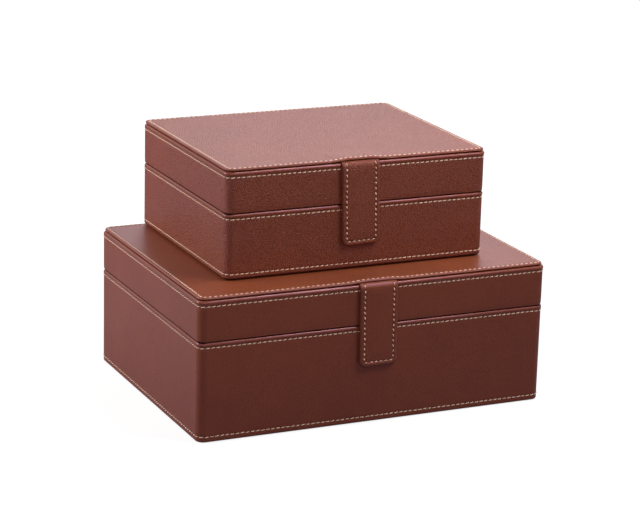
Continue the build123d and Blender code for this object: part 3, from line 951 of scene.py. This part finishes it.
def tab_middle(strap, border):
    """The flat strip's middle: new places between the two long sides of the border, and its faces."""
    count = len(strap.walk)
    inner = len(border) - count
    turn = int(np.searchsorted(strap.walk, (strap.marks[1] + strap.marks[2]) / 2))
    columns = count - 2 * turn
    end = border[inner + turn:inner + turn + columns]
    spread = (end[:, 0] - end[0, 0]) / (end[-1, 0] - end[0, 0])
    grid = np.zeros((turn + 1, columns), dtype=int)
    grid[turn] = inner + turn + np.arange(columns)
    places = []
    for n in range(turn):
        left, right = border[inner + n], border[inner + count - 1 - n]
        grid[n, 0], grid[n, -1] = inner + n, inner + count - 1 - n
        grid[n, 1:-1] = len(border) + len(places) + np.arange(columns - 2)
        places += [left + (right - left) * share for share in spread[1:-1]]
    faces = []
    for n in range(turn):
        faces += list(zip(grid[n, :-1], grid[n + 1, :-1], grid[n + 1, 1:], grid[n, 1:]))
    return np.array(places), faces


def close_sheets(upper, lower, shared, faces):
    """One closed skin from an upper and a lower sheet that share their edge points."""
    under = np.where(shared, np.arange(len(upper)), len(upper) + np.cumsum(~shared) - 1)
    all_faces = [tuple(int(corner) for corner in face) for face in faces]
    for face in faces:
        turned = tuple(int(under[corner]) for corner in face[::-1])
        if len(set(turned)) > 2:
            all_faces.append(turned)
    return np.concatenate([upper, lower[~shared]]), all_faces


def tab_leather(box):
    """The tab: tongue, fold and a strap of two leathers with turned edges and a furrow for the stitches."""
    strap = Strap(box)
    border, depth, faces = tab_border(strap)
    middle, middle_faces = tab_middle(strap, border)
    x, v = np.concatenate([border, middle]).T
    depth = np.concatenate([depth, np.zeros(len(middle))])
    to_outline = np.minimum(TAB_HALF - np.abs(middle[:, 0]), strap.length - middle[:, 1])
    edge = np.concatenate([np.repeat(TAB_INSETS, len(strap.walk)), to_outline])
    rounding = np.sqrt(1 - (1 - np.clip(edge / TAB_EDGE, 0, 1)) ** 2)
    half = strap.thickness(v) / 2 * rounding
    upper = strap.bend(x, v, half - depth + strap.filling(edge, v))
    lower = strap.bend(x, v, -half + depth * 0.5)
    return close_sheets(upper, lower, half < 1e-6, faces + middle_faces)


def stitches_on_tab(box):
    """The row of stitches round the strap, on its face and, pulled flush, on its back."""
    strap = Strap(box)
    middles = (np.arange(strap.stitches) + 0.5) * strap.span / strap.stitches
    places = strap.outline(middles, TAB_ROW)[0]
    middles = middles[places[:, 1] > strap.flat + TAB_SEWN_FROM]

    def lay_on(side, sink):
        def lay(along, across, out):
            flat, outward = strap.outline(along, TAB_ROW)
            flat = flat - outward * across[:, None] * side
            height = strap.thickness(flat[:, 1]) / 2 + out - sink
            return strap.bend(flat[:, 0], flat[:, 1], side * height)

        return lay

    face = sew(middles, lay_on(1, 0.0), TAB_STITCH_LENGTH)
    back = sew(middles, lay_on(-1, TAB_BACK_SINK), TAB_STITCH_LENGTH)
    points, faces, strands = back
    return join(face, (points, [corners[::-1] for corners in faces], strands))


def lining_outline(box, node):
    """The lowest and highest corner of a CAD node inside the box, and its plan with plain samples."""
    low, high = box.corners(node)
    return low, high, Outline(high[0] - low[0], high[1] - low[1], box.middle, LINING_CORNER, plain=True)


def lining_rings(out, profile):
    """Rings of a lining: snug corners on its outer side and rounder ones inside."""
    return [out.ring(inset, z, LINING_CORNER if inset > 0.5 else SNUG_CORNER) for inset, z in profile]


def base_lining(box):
    """Suede glued to the inside of the base's walls, its upper edge tucked round."""
    low, high, out = lining_outline(box, "base_lining")
    floor, rim = low[2], high[2]
    profile = [(SNUG_INSET, floor)] + [(inset, rim - drop) for inset, drop in TUCKED_EDGE]
    profile += [(LINING, (floor + rim) / 2), (LINING, floor)]
    return closed_skin(lining_rings(out, profile))


def lid_lining(box):
    """Suede glued to the inside of the lid's walls and ceiling."""
    low, high, out = lining_outline(box, "lid_lining")
    rim, ceiling = low[2], high[2]
    profile = [(CEILING_FLAT[0], ceiling), (SNUG_INSET, ceiling)]
    profile += [(inset, rim + lift) for inset, lift in TUCKED_EDGE]
    profile += quarter(LINING + COVE, ceiling - LINING - COVE, COVE, 0, 90, 5)
    profile += [(CEILING_FLAT[1], ceiling - LINING)]
    return skin(lining_rings(out, profile))


def floor_pad(box):
    """A thin suede pad on the base's floor: flat below, crowned above, its sides drawn in."""
    low, _, out = lining_outline(box, "base_floor_pad")
    run = np.interp(out.walk, out.marks, np.arange(9))
    between_corners = np.where(np.floor(run) % 2 == 0, np.sin(math.pi * (run % 1)), 0.0)
    pull = PAD_PULL * between_corners ** 0.7
    profile = [(inset + pull * 0.6, z) for inset, z in PAD_UNDERSIDE]
    profile += [(inset + pull, z) for inset, z in PAD_SHOULDER]
    profile += [(inset + pull * max(0, 1 - inset / PAD_CALM), z) for inset, z in PAD_CROWN]
    return skin([out.ring(inset, low[2] + z, LINING_CORNER) for inset, z in profile])


def foot_felt(box):
    """The felt under the base, with soft cut edges."""
    low, high, out = lining_outline(box, "foot_felt")
    thick = high[2] - low[2] - FELT_ROOM
    return skin([out.ring(inset, low[2] + share * thick, FELT_CORNER) for inset, share in FELT_PROFILE])


def hinge_seats(box, level, way):
    """Bricks that clear the hinge leaves out of a rim's leather; way is 1 if that lies above level, or -1."""
    low, high = box.corners("hinge_pins")
    ends = sorted((level + way * (LEATHER + SEAT_FLOOR_ROOM), level - way * SEAT_OVERCUT))
    seats = []
    for start in (low[0], high[0] - HINGE_WIDTH):
        near = (start - SEAT_ROOM, box.back - HINGE_LEAF_DEPTH - SEAT_ROOM, ends[0])
        far = (start + HINGE_WIDTH + SEAT_ROOM, box.back + SEAT_OVERCUT, ends[1])
        seats.append((near, far))
    return seats


# ---------------- putting the boxes together

HIDE_SLOT = "chestnut_leather"

place_camera()
light_studio()
lay_floor()

thread = waxed_thread()
nap = suede()
felt = pressed_felt()
board = fibreboard()
brass = satin_metal("lacquered_brass", "#c9a063", "#b08a4e", 0.32)
steel = satin_metal("nickelled_steel", "#b9b6b0", "#a19d96", 0.35)
fine = pebbled_leather("chestnut_hide_fine", 1.25, 0.065, 0.4, "#8a482b", "#944e2e")
pebbled = pebbled_leather("chestnut_hide_pebbled", 1.6, 0.27, 0.62, "#914b28", "#9c512a")


def cover_in_leather(box, hide):
    """The leather of base, lid and top panel, and the card in that panel."""
    shape, seats = base_cover(box), hinge_seats(box, box.base_rim, -1)
    # painted shade along the split and round the foot, and the smooth rubbed edges
    marks = {"painted_shade": painted_edge_shade(box, shape[0]), "rub": edge_rub(shape[0], box.base_rim)}
    box.add("base_leather", shape, hide, "base", HIDE_SLOT, ["base_cover"], bricks=seats, marks=marks)
    shape, seats = lid_cover(box), hinge_seats(box, box.lid_rim, 1)
    marks = {"rub": edge_rub(shape[0], box.band_top)}
    box.add("lid_leather", shape, hide, "lid", HIDE_SLOT, ["lid_cover"], bricks=seats, marks=marks)
    box.add("panel_leather", panel_cover(box), hide, "lid", HIDE_SLOT, ["top_panel_cover"])
    box.add("panel_card", panel_board(box), board, "lid", "fibreboard", ["top_panel_board"])


def sew_rows(box):
    """The rows of stitches on base and lid."""
    bottom = stitches_on_side(box.side, box.foot + BOTTOM_ROW)
    points, faces, strand = join(bottom, stitches_on_side(box.side, box.split - RIM_ROW))
    box.add("base_stitches", (points, faces), thread, "base", "thread", ["base_thread"], uv=strand)
    band = stitches_on_side(box.side, box.band_top - BAND_ROW)
    points, faces, strand = join(band, stitches_on_panel(box))
    box.add("lid_stitches", (points, faces), thread, "lid", "thread", ["lid_thread"], uv=strand)


def line_and_foot(box):
    """The suede inside, the floor pad and the felt under the foot."""
    box.add("base_suede", base_lining(box), nap, "base", "suede", ["base_lining"])
    box.add("lid_suede", lid_lining(box), nap, "lid", "suede", ["lid_lining"])
    pad = box.add("pad", floor_pad(box), nap, "base", "suede", ["base_floor_pad"])
    box.add("felt", foot_felt(box), felt, "base", "felt", ["foot_felt"])


def hang_tab(box, hide):
    """The tab and its stitches, which bend from the lid to the strap over the fold."""
    tab = box.add("tab", tab_leather(box), hide, None, HIDE_SLOT, ["tab_strap", "tab_tongue"])
    points, faces, strand = stitches_on_tab(box)
    row = box.add("tab_stitches", (points, faces), thread, None, "thread", ["tab_thread"], uv=strand)
    for blended in (tab, row):
        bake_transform(blended)


for box, hide in ((Box("large"), fine), (Box("small"), pebbled)):
    cover_in_leather(box, hide)
    sew_rows(box)
    line_and_foot(box)
    hang_tab(box, hide)

carried = {"board": board, "magnet": steel, "hinge_pins": brass, "screws": brass, "leaves": brass}
for name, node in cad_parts.items():
    for word, material in carried.items():
        if name.endswith(word):
            node.data.materials.clear()
            node.data.materials.append(material)

bpy.context.scene.view_settings.view_transform = "Standard"
